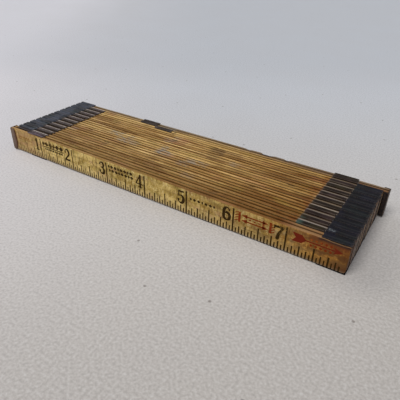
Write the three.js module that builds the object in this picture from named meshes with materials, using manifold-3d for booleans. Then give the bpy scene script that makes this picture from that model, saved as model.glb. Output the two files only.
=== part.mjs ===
// Sliding extension rule, 72 in, closed: twelve grooved wooden slats side by side, each one
// hung on its neighbours by bent sheet-metal clips, with a metal cap on the free end of the
// first and of the last slat. Ten slides draw out 6 in each; one more clip on the last slat
// stops the eleventh where the whole rule measures 72 in. Millimetres, +Z up. X runs along
// the slats, Y across the stack.
// The origin is the centre of the footprint, on the plane the clip flanges rest on.
import * as THREE from 'three';
import { mergeVertices } from 'three/addons/utils/BufferGeometryUtils.js';
import Module from 'manifold-3d';

// ---- driving dimensions -----------------------------------------------------------------
const INCH = 25.4;
const SECTIONS = 12;                    // slats in the stack
const PITCH = 3 / 16 * INCH;            // slat to slat, centre to centre
const SLAT_T = 3.97;                    // slat thickness (5/32 in)
const SLAT_H = 13.5;                    // slat height
const CLOSED_L = 207.1;                 // cap face to cap face, closed
const END_STEP = 2.45;                  // how far the capped end stands past its neighbours
const OPEN_L = 72 * INCH;               // cap face to cap face, fully drawn out
const STROKE = 6 * INCH;                // travel of every slide but the last
const LAST_STROKE = OPEN_L - CLOSED_L - (SECTIONS - 2) * STROKE;   // what is left for the last

const GROOVE_W = 1.1;                   // guide groove in both edges of each slat
const GROOVE_D = 1.4;
const EDGE = 0.2;                       // broken edge of the wood

const SHEET = 0.43;                     // clip sheet thickness
const OVER = 0.12;                      // air between a flange and the wood it crosses
const CLIP_L = (CLOSED_L - 2 * END_STEP - STROKE) / 2 - 0.01;   // two clips in one gap meet at full travel
const SLIT = 0.4;                       // slit between the two flange pairs
const BEND = 0.24;                      // bend relief on the outside of each fold
const FLANGE_BACK = 0.06;               // a flange stops this far inside the slat's face
const KEY_W = 0.7;                      // key crimped into the clip's own slat
const KEY_D = 0.9;
const LIP_GAP = 0.06;                   // air between a guide lip and its ridge
const LIP_T = 0.36;                     // guide lip thickness
const LIP_D = 1.1;                      // how deep a guide lip reaches into the groove

const CAP_T = 0.45;                     // end cap sheet
const CAP_AIR = 0.03;
const CAP_TAB = [[0, 2.0], [0.1, 3.2], [0.22, 3.85], [0.38, 4.15], [0.55, 4.1], [0.7, 3.9],
  [0.85, 3.6], [1, 3.2]];               // share of the height, reach of the outer tab there
const CAP_INNER = 2.4;                  // reach of the tab inside the stack

const DEPTH = (SECTIONS - 1) * PITCH + SLAT_T;
const SLAT_END = CLOSED_L - END_STEP;   // right end of slats 1 to 11
const BASE = OVER + SHEET;              // the wood stands this far above the rest plane
const STOP_X = CLIP_L + LAST_STROKE;    // slat end to the near edge of the stop clip

// ---- helpers ----------------------------------------------------------------------------
const wasm = await Module();
wasm.setup();

// A closed outline in (y, z), drawn out along X.
function prism(outline, x0, x1) {
  const shape = new THREE.Shape(outline.map(([y, z]) => new THREE.Vector2(y, z)));
  const g = new THREE.ExtrudeGeometry(shape, { depth: x1 - x0, bevelEnabled: false, steps: 1 });
  g.applyMatrix4(new THREE.Matrix4().makeBasis(
    new THREE.Vector3(0, 1, 0), new THREE.Vector3(0, 0, 1), new THREE.Vector3(1, 0, 0)));
  g.translate(x0, 0, 0);
  return g;
}

// A closed outline in (x, z), drawn out along Y.
function plate(outline, y0, y1) {
  const shape = new THREE.Shape(outline.map(([x, z]) => new THREE.Vector2(x, z)));
  const g = new THREE.ExtrudeGeometry(shape, { depth: y1 - y0, bevelEnabled: false, steps: 1 });
  g.applyMatrix4(new THREE.Matrix4().makeBasis(
    new THREE.Vector3(1, 0, 0), new THREE.Vector3(0, 0, 1), new THREE.Vector3(0, -1, 0)));
  g.translate(0, y1, 0);
  return g;
}

function solid(geometry) {
  const g = geometry.clone();
  for (const name of Object.keys(g.attributes)) if (name !== 'position') g.deleteAttribute(name);
  const m = mergeVertices(g, 1e-5);
  return new wasm.Manifold(new wasm.Mesh({
    numProp: 3,
    vertProperties: new Float32Array(m.attributes.position.array),
    triVerts: new Uint32Array(m.index.array),
  }));
}

function joined(geometries) {
  let whole = solid(geometries[0]);
  for (const g of geometries.slice(1)) whole = whole.add(solid(g));
  const mesh = whole.getMesh();
  const g = new THREE.BufferGeometry();
  g.setAttribute('position', new THREE.BufferAttribute(new Float32Array(mesh.vertProperties), 3));
  g.setIndex(new THREE.BufferAttribute(new Uint32Array(mesh.triVerts), 1));
  const flat = g.toNonIndexed();
  flat.computeVertexNormals();
  return flat;
}

// ---- shapes, each in the frame of its own slat: y = 0 on the slat's front face, z = 0 on the
// ---- wood's underside, x = 0 on the outer face of the start cap ---------------------------
const G0 = (SLAT_T - GROOVE_W) / 2;
const G1 = (SLAT_T + GROOVE_W) / 2;

function slatShape(x0, x1) {
  return prism([
    [EDGE, 0], [G0, 0], [G0, GROOVE_D], [G1, GROOVE_D], [G1, 0], [SLAT_T - EDGE, 0],
    [SLAT_T, EDGE], [SLAT_T, SLAT_H - EDGE], [SLAT_T - EDGE, SLAT_H], [G1, SLAT_H],
    [G1, SLAT_H - GROOVE_D], [G0, SLAT_H - GROOVE_D], [G0, SLAT_H], [EDGE, SLAT_H],
    [0, SLAT_H - EDGE], [0, EDGE],
  ], x0, x1);
}

const PY0 = SLAT_T + (PITCH - SLAT_T - SHEET) / 2;   // clip plate, front face
const PY1 = PY0 + SHEET;                             // clip plate, back face
const Z0 = -OVER - SHEET, Z1 = -OVER, Z2 = SLAT_H + OVER, Z3 = SLAT_H + OVER + SHEET;

// Flanges folded forward over the clip's own slat, keyed into its grooves.
function holdOutline() {
  const k0 = (SLAT_T - KEY_W) / 2, k1 = (SLAT_T + KEY_W) / 2, f = FLANGE_BACK;
  return [
    [f, Z0], [PY1 - BEND, Z0], [PY1, Z0 + BEND], [PY1, Z3 - BEND], [PY1 - BEND, Z3], [f, Z3],
    [f, Z2], [k0, Z2], [k0, SLAT_H - KEY_D], [k1, SLAT_H - KEY_D], [k1, Z2],
    [PY0, Z2], [PY0, Z1],
    [k1, Z1], [k1, KEY_D], [k0, KEY_D], [k0, Z1], [f, Z1],
  ];
}

// Guide arms folded back over the front ridge of the next slat, lips hanging in its grooves.
function guideOutline() {
  const l0 = PITCH + G0 + LIP_GAP, l1 = l0 + LIP_T, b = BEND * 0.7;
  return [
    [PY0 + BEND, Z0], [l1 - b, Z0], [l1, Z0 + b], [l1, LIP_D], [l0, LIP_D], [l0, Z1],
    [PY1, Z1], [PY1, Z2],
    [l0, Z2], [l0, SLAT_H - LIP_D], [l1, SLAT_H - LIP_D], [l1, Z3 - b], [l1 - b, Z3],
    [PY0 + BEND, Z3], [PY0, Z3 - BEND], [PY0, Z0 + BEND],
  ];
}

// The outermost slat has nothing else riding in its groove, so its guide arms cross it whole.
function wideGuideOutline() {
  const c = PITCH + SLAT_T / 2, k0 = c - KEY_W / 2, k1 = c + KEY_W / 2, f = PITCH + SLAT_T - FLANGE_BACK;
  return [
    [PY0 + BEND, Z0], [f, Z0], [f, Z1], [k1, Z1], [k1, KEY_D], [k0, KEY_D], [k0, Z1],
    [PY1, Z1], [PY1, Z2],
    [k0, Z2], [k0, SLAT_H - KEY_D], [k1, SLAT_H - KEY_D], [k1, Z2], [f, Z2], [f, Z3],
    [PY0 + BEND, Z3], [PY0, Z3 - BEND], [PY0, Z0 + BEND],
  ];
}

function clipShape(wide) {
  const x1 = SLAT_END, x0 = x1 - CLIP_L, xm = x1 - CLIP_L / 2;
  const web = plate([[x0, Z0 + BEND], [x1, Z0 + BEND], [x1, Z3 - BEND], [x0, Z3 - BEND]], PY0, PY1);
  return joined([
    web,
    prism(holdOutline(), xm + SLIT / 2, x1),
    prism(wide ? wideGuideOutline() : guideOutline(), x0, xm - SLIT / 2),
  ]);
}

function capShape() {
  const tab = [[0, 0]];
  for (const [u, reach] of CAP_TAB) tab.push([reach, SLAT_H * u]);
  tab.push([0, SLAT_H]);
  const r = 0.8;
  return joined([
    prism([[-CAP_T + BEND, 0], [SLAT_T + CAP_T - BEND, 0], [SLAT_T + CAP_T, BEND],
      [SLAT_T + CAP_T, SLAT_H - BEND], [SLAT_T + CAP_T - BEND, SLAT_H],
      [-CAP_T + BEND, SLAT_H], [-CAP_T, SLAT_H - BEND], [-CAP_T, BEND]], 0, CAP_T),
    plate(tab, -CAP_T, -CAP_AIR),
    plate([[0, BEND], [CAP_INNER - r, BEND], [CAP_INNER, BEND + r], [CAP_INNER, SLAT_H - BEND - r],
      [CAP_INNER - r, SLAT_H - BEND], [0, SLAT_H - BEND]], SLAT_T + CAP_AIR, SLAT_T + CAP_T),
  ]);
}

// ---- materials --------------------------------------------------------------------------
const wood = () => new THREE.MeshStandardMaterial({ color: 0xb98f4e, roughness: 0.62, metalness: 0 });
const enamel = () => new THREE.MeshStandardMaterial({ color: 0x26262b, roughness: 0.42, metalness: 0.6 });
const patina = () => new THREE.MeshStandardMaterial({ color: 0x55453c, roughness: 0.5, metalness: 0.8 });

// ---- assembly ---------------------------------------------------------------------------
const rule = new THREE.Group();
const two = (n) => String(n).padStart(2, '0');
const mirrorHalf = new THREE.Group();      // the same parts turned half round about Z
mirrorHalf.rotation.z = Math.PI;
rule.add(mirrorHalf);

function place(parent, name, geometry, material, slat, along = 0) {
  const mesh = new THREE.Mesh(geometry, material);
  mesh.name = name;
  mesh.position.set(-CLOSED_L / 2 + along, -DEPTH / 2 + (slat - 1) * PITCH, BASE);
  parent.add(mesh);
}

const START = CAP_T + CAP_AIR;
place(rule, 'slat_01', slatShape(START, SLAT_END), wood(), 1);
place(mirrorHalf, 'slat_12', slatShape(START, SLAT_END), wood(), 1);
for (let i = 2; i < SECTIONS; i++) place(rule, `slat_${two(i)}`, slatShape(END_STEP, SLAT_END), wood(), i);

for (let i = 1; i < SECTIONS; i++) {
  const wide = i === SECTIONS - 1;
  place(rule, `right_clip_${two(i)}`, clipShape(wide), enamel(), i);
  place(mirrorHalf, `left_clip_${two(SECTIONS + 1 - i)}`, clipShape(wide), enamel(), i);
}

// The stop clip is one more left clip on the last slat. In the half-turned frame that slat is
// the first, and the clip's inner edge faces the right clip of the slat before it.
place(mirrorHalf, 'stop_clip', clipShape(false), enamel(), 1,
  -(SLAT_END - CLIP_L) + (CLOSED_L - SLAT_END + STOP_X) + 0.01);

place(rule, 'start_end_cap', capShape(), patina(), 1);
place(mirrorHalf, 'finish_end_cap', capShape(), patina(), 1);

export default rule;
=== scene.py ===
"""Sliding extension rule, closed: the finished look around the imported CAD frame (Blender 4.5, metres)."""
import math

import bpy
import bmesh
import numpy as np
from mathutils import Matrix, Vector


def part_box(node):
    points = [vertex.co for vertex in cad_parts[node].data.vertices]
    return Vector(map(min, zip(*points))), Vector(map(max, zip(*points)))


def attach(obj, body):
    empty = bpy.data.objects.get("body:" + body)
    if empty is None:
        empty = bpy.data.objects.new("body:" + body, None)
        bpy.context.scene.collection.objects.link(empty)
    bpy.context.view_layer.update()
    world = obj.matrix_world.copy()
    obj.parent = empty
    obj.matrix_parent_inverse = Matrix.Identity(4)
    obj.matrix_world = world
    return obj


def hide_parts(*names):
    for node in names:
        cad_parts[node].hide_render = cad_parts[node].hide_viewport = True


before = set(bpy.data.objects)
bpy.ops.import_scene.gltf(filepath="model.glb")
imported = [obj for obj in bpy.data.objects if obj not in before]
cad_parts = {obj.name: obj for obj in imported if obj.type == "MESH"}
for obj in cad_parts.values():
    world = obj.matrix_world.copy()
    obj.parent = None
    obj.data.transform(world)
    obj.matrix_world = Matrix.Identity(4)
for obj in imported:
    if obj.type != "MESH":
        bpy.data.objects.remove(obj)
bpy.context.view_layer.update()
scene = bpy.context.scene
MM = 0.001

# ---------------------------------------------------------------- the frame's own measures, in mm
N = 12
first_lo, first_hi = (np.array(v) * 1000 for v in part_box("slat_01"))
last_lo, last_hi = (np.array(v) * 1000 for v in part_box("slat_12"))
mid_lo, mid_hi = (np.array(v) * 1000 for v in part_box("slat_06"))
PITCH = (last_lo[1] - first_lo[1]) / (N - 1)
SLAT_T = first_hi[1] - first_lo[1]
SLAT_H = first_hi[2] - first_lo[2]
Y0 = first_lo[1]
Z0 = first_lo[2]
cap_lo, cap_hi = (np.array(v) * 1000 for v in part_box("start_end_cap"))
X0 = cap_lo[0]                      # zero of the scale: the start cap's outer face
CLOSED = -2 * X0
clip_lo, clip_hi = (np.array(v) * 1000 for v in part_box("right_clip_05"))
CLIP_L = clip_hi[0] - clip_lo[0]
SLAT_X0, SLAT_X1 = mid_lo[0], mid_hi[0]
GROOVE_W, GROOVE_D = 1.1, 1.4
G0, G1 = (SLAT_T - GROOVE_W) / 2, (SLAT_T + GROOVE_W) / 2
SHEET = 0.43
OVER = Z0 - SHEET                   # air between a flange and the wood
PY0 = SLAT_T + (PITCH - SLAT_T - SHEET) / 2
IN = 25.4


def srgb(r, g, b):
    def f(v):
        v /= 255.0
        return v / 12.92 if v <= 0.04045 else ((v + 0.055) / 1.055) ** 2.4
    return (f(r), f(g), f(b), 1.0)


# ---------------------------------------------------------------- camera
cam_data = bpy.data.cameras.new("view_camera")
cam = bpy.data.objects.new("view_camera", cam_data)
scene.collection.objects.link(cam)
scene.camera = cam
yaw, pitch, roll = math.radians(-31.85), math.radians(32.20), math.radians(1.58)
fw = Vector((math.sin(yaw) * math.cos(pitch), math.cos(yaw) * math.cos(pitch), -math.sin(pitch)))
rt = Vector((math.cos(yaw), -math.sin(yaw), 0.0))
up = rt.cross(fw)
r2 = rt * math.cos(roll) + up * math.sin(roll)
u2 = -rt * math.sin(roll) + up * math.cos(roll)
m = Matrix.Identity(4)
for row in range(3):
    m[row][0], m[row][1], m[row][2] = r2[row], u2[row], -fw[row]
m.translation = Vector((X0 + 224.2, Y0 - 144.1, Z0 + 117.3)) * MM
cam.matrix_world = m
cam_data.sensor_width = 36.0
cam_data.lens = 433.0 * 36.0 / 400.0
cam_data.clip_start = 0.005
cam_data.clip_end = 20.0
cam_data.dof.use_dof = False


# ---------------------------------------------------------------- node-graph helper
class Graph:
    def __init__(self, name):
        self.mat = bpy.data.materials.new(name)
        self.mat.use_nodes = True
        self.nt = self.mat.node_tree
        self.nt.nodes.clear()
        self.out = self.nt.nodes.new("ShaderNodeOutputMaterial")
        self.bsdf = self.nt.nodes.new("ShaderNodeBsdfPrincipled")
        self.nt.links.new(self.bsdf.outputs[0], self.out.inputs[0])
        tc = self.nt.nodes.new("ShaderNodeTexCoord")
        scale = self.nt.nodes.new("ShaderNodeVectorMath")
        scale.operation = "SCALE"
        scale.inputs["Scale"].default_value = 1000.0
        self.nt.links.new(tc.outputs["Object"], scale.inputs[0])
        self.pos = scale.outputs[0]        # object coordinates in mm
        self._xyz = None

    def put(self, sock, v):
        if isinstance(v, bpy.types.NodeSocket):
            self.nt.links.new(v, sock)
        elif v is not None:
            sock.default_value = v

    def xyz(self):
        if self._xyz is None:
            n = self.nt.nodes.new("ShaderNodeSeparateXYZ")
            self.nt.links.new(self.pos, n.inputs[0])
            self._xyz = n.outputs
        return self._xyz

    def math(self, op, a, b=None, c=None, clamp=False):
        n = self.nt.nodes.new("ShaderNodeMath")
        n.operation = op
        n.use_clamp = clamp
        for s, v in zip(n.inputs, (a, b, c)):
            self.put(s, v)
        return n.outputs[0]

    def mapr(self, v, a, b, c=0.0, d=1.0, smooth=True):
        n = self.nt.nodes.new("ShaderNodeMapRange")
        n.interpolation_type = "SMOOTHSTEP" if smooth else "LINEAR"
        n.clamp = True
        for s, x in zip(n.inputs, (v, a, b, c, d)):
            self.put(s, x)
        return n.outputs[0]

    def mix(self, f, a, b, mode="MIX"):
        n = self.nt.nodes.new("ShaderNodeMix")
        n.data_type = "RGBA"
        n.blend_type = mode
        n.clamp_factor = True
        self.put(n.inputs[0], f)
        self.put(n.inputs[6], a)
        self.put(n.inputs[7], b)
        return n.outputs[2]

    def vec(self, scale, offset=(0, 0, 0), src=None):
        n = self.nt.nodes.new("ShaderNodeMapping")
        n.inputs["Location"].default_value = offset
        n.inputs["Scale"].default_value = scale
        self.nt.links.new(src or self.pos, n.inputs["Vector"])
        return n.outputs[0]

    def noise(self, scale=(1, 1, 1), offset=(0, 0, 0), detail=3.0, rough=0.55, dist=0.0):
        n = self.nt.nodes.new("ShaderNodeTexNoise")
        n.inputs["Scale"].default_value = 1.0
        n.inputs["Detail"].default_value = detail
        n.inputs["Roughness"].default_value = rough
        n.inputs["Distortion"].default_value = dist
        self.nt.links.new(self.vec(scale, offset), n.inputs["Vector"])
        return n.outputs["Fac"]

    def voronoi(self, scale=(1, 1, 1), offset=(0, 0, 0), feature="F1"):
        n = self.nt.nodes.new("ShaderNodeTexVoronoi")
        n.feature = feature
        n.inputs["Scale"].default_value = 1.0
        self.nt.links.new(self.vec(scale, offset), n.inputs["Vector"])
        return n.outputs["Distance"]

    def attr(self, name):
        n = self.nt.nodes.new("ShaderNodeAttribute")
        n.attribute_name = name
        return n.outputs["Fac"]

    def ramp(self, f, stops):
        n = self.nt.nodes.new("ShaderNodeValToRGB")
        e = n.color_ramp.elements
        while len(e) < len(stops):
            e.new(0.5)
        for k, (p, col) in enumerate(stops):
            e[k].position = p
            e[k].color = col
        self.nt.links.new(f, n.inputs[0])
        return n.outputs[0]

    def bump(self, h, strength, distance, normal=None):
        n = self.nt.nodes.new("ShaderNodeBump")
        n.inputs["Strength"].default_value = strength
        n.inputs["Distance"].default_value = distance
        self.put(n.inputs["Height"], h)
        if normal is not None:
            self.nt.links.new(normal, n.inputs["Normal"])
        return n.outputs[0]

    def finish(self, color, rough, normal=None, metallic=0.0, coat=0.0, coat_rough=0.2, spec=0.5):
        b = self.bsdf
        self.put(b.inputs["Base Color"], color)
        self.put(b.inputs["Roughness"], rough)
        self.put(b.inputs["Metallic"], metallic)
        b.inputs["Coat Weight"].default_value = coat
        b.inputs["Coat Roughness"].default_value = coat_rough
        b.inputs["Specular IOR Level"].default_value = spec
        if normal is not None:
            self.nt.links.new(normal, b.inputs["Normal"])
        return self.mat


# ---------------------------------------------------------------- materials
FACE_A = srgb(229, 198, 120)
FACE_B = srgb(176, 145, 70)
FACE_PINK = srgb(204, 160, 112)
FACE_OLIVE = srgb(152, 132, 60)
FACE_RIGHT = srgb(132, 82, 30)
FACE_DIRT = srgb(96, 70, 38)
TOP_A = srgb(220, 176, 107)
TOP_B = srgb(156, 113, 60)
TOP_C = srgb(241, 206, 135)
GROOVE = srgb(60, 35, 10)
TONES = (0.86, 0.78, 0.52, 0.34, 0.20, 0.24, 0.0, 0.14, 0.02, 0.05, 0.0, 0.36)


def wood(index):
    """Varnished, handled hardwood: yellow printed faces, browner edges, dirt in the grooves, painted shade in the gaps
    between slats and painted floor-bounce light along the bottom edge.
    """
    g = Graph(f"slat_wood_{index:02d}")
    s = index * 37.7
    x, y, z = g.xyz()
    top = g.attr("edge")                 # 1 on the narrow top and bottom edges
    wear = g.attr("wear")
    dirt_and_gap_shade = g.attr("dirt_and_gap_shade")
    chip_stain_and_shade = g.attr("chip_stain_and_shade")
    pale = g.attr("pale")
    grain = g.noise((0.035, 1.7, 1.7), (s, s * 0.7, s * 0.3), 5.0, 0.62, 0.6)
    fibre = g.noise((0.22, 7.0, 7.0), (s * 1.3, 0, s), 3.0, 0.6)
    blotch = g.noise((0.055, 0.11, 0.13), (s * 0.4, s, 0), 4.0, 0.6, 0.8)
    patch = g.noise((0.16, 0.3, 0.34), (s * 0.9, 3.0, s), 3.0, 0.55)
    speck = g.noise((1.1, 2.2, 1.6), (s, 9.0, 0), 2.0, 0.5)

    # printed faces: yellow paint under varnish, rubbed and stained
    streak = g.noise((0.75, 0.3, 0.10), (s, 17.0, s), 4.0, 0.6, 0.4)
    fleck = g.noise((0.95, 0.8, 0.42), (s, 71.0, s), 4.0, 0.66, 0.5)
    face = g.mix(g.mapr(blotch, 0.36, 0.64), FACE_A, FACE_B)
    face = g.mix(g.mapr(patch, 0.54, 0.70, 0, 0.7), face, FACE_PINK)
    face = g.mix(g.mapr(g.noise((0.12, 0.2, 0.22), (s, 31.0, s), 3.0), 0.52, 0.72, 0, 0.7), face, FACE_OLIVE)
    streaky = g.mapr(x, X0 + 20.0, X0 + 75.0, 0.95, 0.6)
    face = g.mix(g.math("MULTIPLY", g.mapr(streak, 0.50, 0.66), streaky), face, g.mix(g.mapr(patch, 0.4, 0.6), srgb(128, 110, 46), srgb(112, 84, 44)))
    light = g.noise((0.5, 0.5, 0.14), (s, 53.0, s), 4.0, 0.65)
    face = g.mix(g.mapr(light, 0.54, 0.70, 0, 0.6), face, srgb(236, 208, 146))
    face = g.mix(g.mapr(fleck, 0.54, 0.66, 0, 0.72), face, srgb(246, 222, 156))
    face = g.mix(g.mapr(fleck, 0.46, 0.33, 0, 0.75), face, srgb(112, 84, 34))
    face = g.mix(g.mapr(z, Z0 + 6.0, Z0 + 2.5, 0.0, 0.30), face, srgb(234, 208, 150))
    right = g.mix(g.mapr(patch, 0.40, 0.60), g.mix(g.mapr(fleck, 0.42, 0.58), srgb(136, 84, 28), srgb(184, 126, 50)), srgb(98, 54, 20))
    right = g.mix(g.mapr(z, Z0 + 6.5, Z0 + 3.0, 0.0, 0.40), right, srgb(164, 124, 58))
    face = g.mix(g.math("ADD", g.mapr(x, 4.0, 58.0, 0.0, 0.36), g.mapr(x, 58.0, 92.0, 0.0, 0.58)), face, right)
    face = g.mix(g.mapr(grain, 0.50, 0.70, 0, 0.5), face, FACE_DIRT)
    face = g.mix(g.mapr(speck, 0.58, 0.70, 0, 0.6), face, FACE_DIRT)
    corner = g.math("MULTIPLY", g.mapr(x, SLAT_X1 - 16.0, SLAT_X1 - 1.0), g.mapr(z, Z0 + 6.5, Z0 + 1.0))
    face = g.mix(g.math("MULTIPLY", corner, 0.8), face, srgb(84, 44, 26))
    # painted light: the bottom edge of the face made paler, as if lit by light bouncing off the floor
    floor_bounce_light = g.mapr(z, Z0 + 1.9, Z0 + 0.3, 0.0, 0.55)
    face = g.mix(g.math("MULTIPLY", floor_bounce_light, g.mapr(x, 70.0, 95.0, 1.0, 0.3)), face, srgb(172, 158, 132))
    rosy = g.math("MULTIPLY", g.mapr(x, X0 + 34.0, X0 + 14.0), g.mapr(patch, 0.38, 0.56, 0.25, 1.0))
    face = g.mix(g.math("MULTIPLY", rosy, 0.6), face, srgb(192, 146, 104))
    face = g.mix(g.mapr(x, X0 + 34.0, X0 + 8.0, 0.0, 0.14), face, srgb(104, 78, 44))
    ruddy = g.math("MULTIPLY", g.mapr(x, SLAT_X1 - 30.0, SLAT_X1 - 6.0), g.mapr(z, Z0 + 7.0, Z0 + 12.0))
    face = g.mix(g.math("MULTIPLY", ruddy, g.mapr(blotch, 0.38, 0.58, 0.2, 0.85)), face, srgb(112, 58, 28))
    # painted shade on the face just below the right clip's top flange
    under_flange_shade = g.math("MULTIPLY", g.mapr(x, SLAT_X1 - 14.6, SLAT_X1 - 12.6), g.mapr(z, Z0 + 11.6, Z0 + 12.8))
    face = g.mix(g.math("MULTIPLY", under_flange_shade, 0.85), face, srgb(46, 34, 32))
    # top and bottom edges
    tone = TONES[index - 1]
    cell = g.math("FLOORED_MODULO", g.math("SUBTRACT", y, Y0), PITCH)
    edge = g.mix(g.mapr(grain, 0.36, 0.62), TOP_A, TOP_B)
    edge = g.mix(g.mapr(fibre, 0.55, 0.72, 0, 0.5), edge, TOP_C)
    edge = g.mix(g.mapr(blotch, 0.48, 0.70, 0, 0.6), edge, TOP_B)
    # some ridges paler, some darker, at random; the pale ones are also painted highlights along the ridges
    ridge_tone_and_highlight = g.noise((0.02, 0.62, 0.0), (s * 0.3, s, 0), 3.0, 0.6)
    amp = (0.45, 0.5, 0.6, 0.75)[index - 1] if index <= 4 else 1.0
    edge = g.mix(g.mapr(ridge_tone_and_highlight, 0.51, 0.60, 0, 0.85 * amp), edge, srgb(247, 207, 140))
    edge = g.mix(g.mapr(ridge_tone_and_highlight, 0.48, 0.37, 0, 0.75 * amp), edge, srgb(112, 74, 32))
    if index in (7, 11):
        edge = g.mix(0.28, edge, srgb(240, 204, 130))
    edge = g.mix(g.math("ADD", g.mapr(x, 10.0, 84.0, tone * 0.5, tone * 0.5 + 0.38), g.mapr(patch, 0.5, 0.7, 0.0, 0.25), clamp=True), edge, g.mix(g.mapr(x, -20.0, 60.0), srgb(112, 79, 38), srgb(110, 67, 22)))
    edge = g.mix(g.mapr(x, -30.0, -84.0, 0.0, 0.12), edge, srgb(112, 76, 40))
    # a reddish stain just inside the right-hand arms, and rosy and olive casts further along
    edge = g.mix(g.math("MULTIPLY", g.mapr(x, 66.0, 76.0), g.mapr(g.noise((0.16, 0.09, 0.0), (7.0, 3.0, 0)), 0.42, 0.60, 0, 0.55)), edge, srgb(124, 62, 28))
    cast = g.noise((0.055, 0.10, 0.0), (21.0, 13.0, 0), 3.0, 0.55)
    edge = g.mix(g.mapr(cast, 0.56, 0.70, 0, 0.42), edge, srgb(176, 120, 92))
    edge = g.mix(g.mapr(cast, 0.44, 0.30, 0, 0.42), edge, srgb(168, 146, 74))
    edge = g.mix(g.mapr(g.noise((0.03, 0.02, 0.02), (s * 0.2, 0, 0), 2.0), 0.5, 0.7, 0, 0.5), edge, srgb(104, 68, 38))
    edge = g.mix(g.mapr(x, -30.0, 80.0), edge, srgb(246, 238, 218), mode="MULTIPLY")
    if index <= 3:
        edge = g.mix(g.mapr(x, -50.0, -5.0, 0.0, 0.22), edge, srgb(100, 62, 26))
    if index == 1:
        edge = g.mix(g.mapr(x, SLAT_X1 - 32.0, SLAT_X1 - 22.0, 0.0, 0.45), edge, srgb(176, 140, 100))
    if index == N:
        back = g.math("MULTIPLY", g.mapr(cell, 1.4, 2.4, 0.45, 1.0), g.mapr(fibre, 0.35, 0.6, 0.55, 0.95))
        edge = g.mix(back, edge, g.mix(g.mapr(grain, 0.4, 0.62), srgb(136, 120, 98), srgb(102, 84, 62)))
    if index == 1:
        shade = g.math("MULTIPLY", g.mapr(cell, 1.5, 2.3), g.math("MULTIPLY", g.mapr(x, X0 + 1.5, X0 + 4.5), g.mapr(x, X0 + 15.5, X0 + 16.5, 1.0, 0.0)))
        edge = g.mix(g.math("MULTIPLY", shade, 0.92), edge, srgb(50, 48, 54))
    col = g.mix(top, face, edge)
    # dust-pale handling marks
    col = g.mix(g.math("MULTIPLY", pale, g.mapr(g.noise((0.35, 1.6, 1.6), (0, s, 0), 4.0), 0.38, 0.58)), col, srgb(150, 143, 132))
    # edges rubbed back to paler or darker wood
    rub = g.math("MULTIPLY", wear, g.mapr(g.noise((0.35, 1.2, 1.2), (0, 0, s), 4.0, 0.6), 0.42, 0.62), clamp=True)
    col = g.mix(g.math("MULTIPLY", rub, 0.65), col, srgb(132, 92, 54))
    # the stretch under the guide arms is rubbed grey by the sheet
    near_r = g.math("MULTIPLY", g.mapr(x, SLAT_X1 - CLIP_L - 1.0, SLAT_X1 - CLIP_L + 0.6), g.mapr(x, SLAT_X1 - 12.6, SLAT_X1 - 11.6, 1.0, 0.0))
    near_l = g.math("MULTIPLY", g.mapr(x, SLAT_X0 + 11.6, SLAT_X0 + 12.6), g.mapr(x, SLAT_X0 + CLIP_L - 0.6, SLAT_X0 + CLIP_L + 1.0, 1.0, 0.0))
    if index > 1:
        lift = (0, 14, -10, 4, 22, -14, 8, 26, -6, 12, -16, -4)[index - 1]
        bare = srgb(136 + lift, 129 + lift, 120 + lift), srgb(90 + lift, 81 + lift, 71 + lift)
        col = g.mix(g.math("MULTIPLY", g.math("MULTIPLY", near_r, top), 0.85), col,
                    g.mix(g.mapr(cell, 3.05, 3.6), g.mix(g.mapr(grain, 0.4, 0.62), *bare), srgb(50, 38, 27)))
    if 1 < index < N:
        col = g.mix(g.math("MULTIPLY", g.math("MULTIPLY", near_l, top), 0.92), col, srgb(40, 31, 26))
    if index == 1:
        # painted light: slat 1's bottom front corner made paler, as floor bounce light
        foot_bounce_light = g.math("MULTIPLY", g.mapr(z, Z0 + 0.75, Z0 + 0.25), g.mapr(cell, 0.75, 0.35))
        col = g.mix(g.math("MULTIPLY", foot_bounce_light, g.mapr(x, 30.0, 90.0, 0.7, 0.2)), col, srgb(196, 180, 150))
    # dirt in the grooves, and painted shade on the faces and corners that look into the gaps between slats
    col = g.mix(dirt_and_gap_shade, col, GROOVE)
    # chips darkened: stained wood and painted shade in the hollow
    col = g.mix(chip_stain_and_shade, col, g.mix(g.mapr(fibre, 0.4, 0.6), srgb(38, 30, 28), srgb(66, 50, 40)))
    rough = g.mapr(g.mix(0.5, grain, blotch), 0.3, 0.7, 0.38, 0.66, smooth=False)
    rough = g.math("ADD", rough, g.math("MULTIPLY", dirt_and_gap_shade, 0.25), clamp=True)
    n1 = g.bump(fibre, 0.35, 0.00012)
    n2 = g.bump(blotch, 0.25, 0.0004, n1)
    return g.finish(col, rough, n2, coat=0.04, coat_rough=0.35, spec=0.12)


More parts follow.
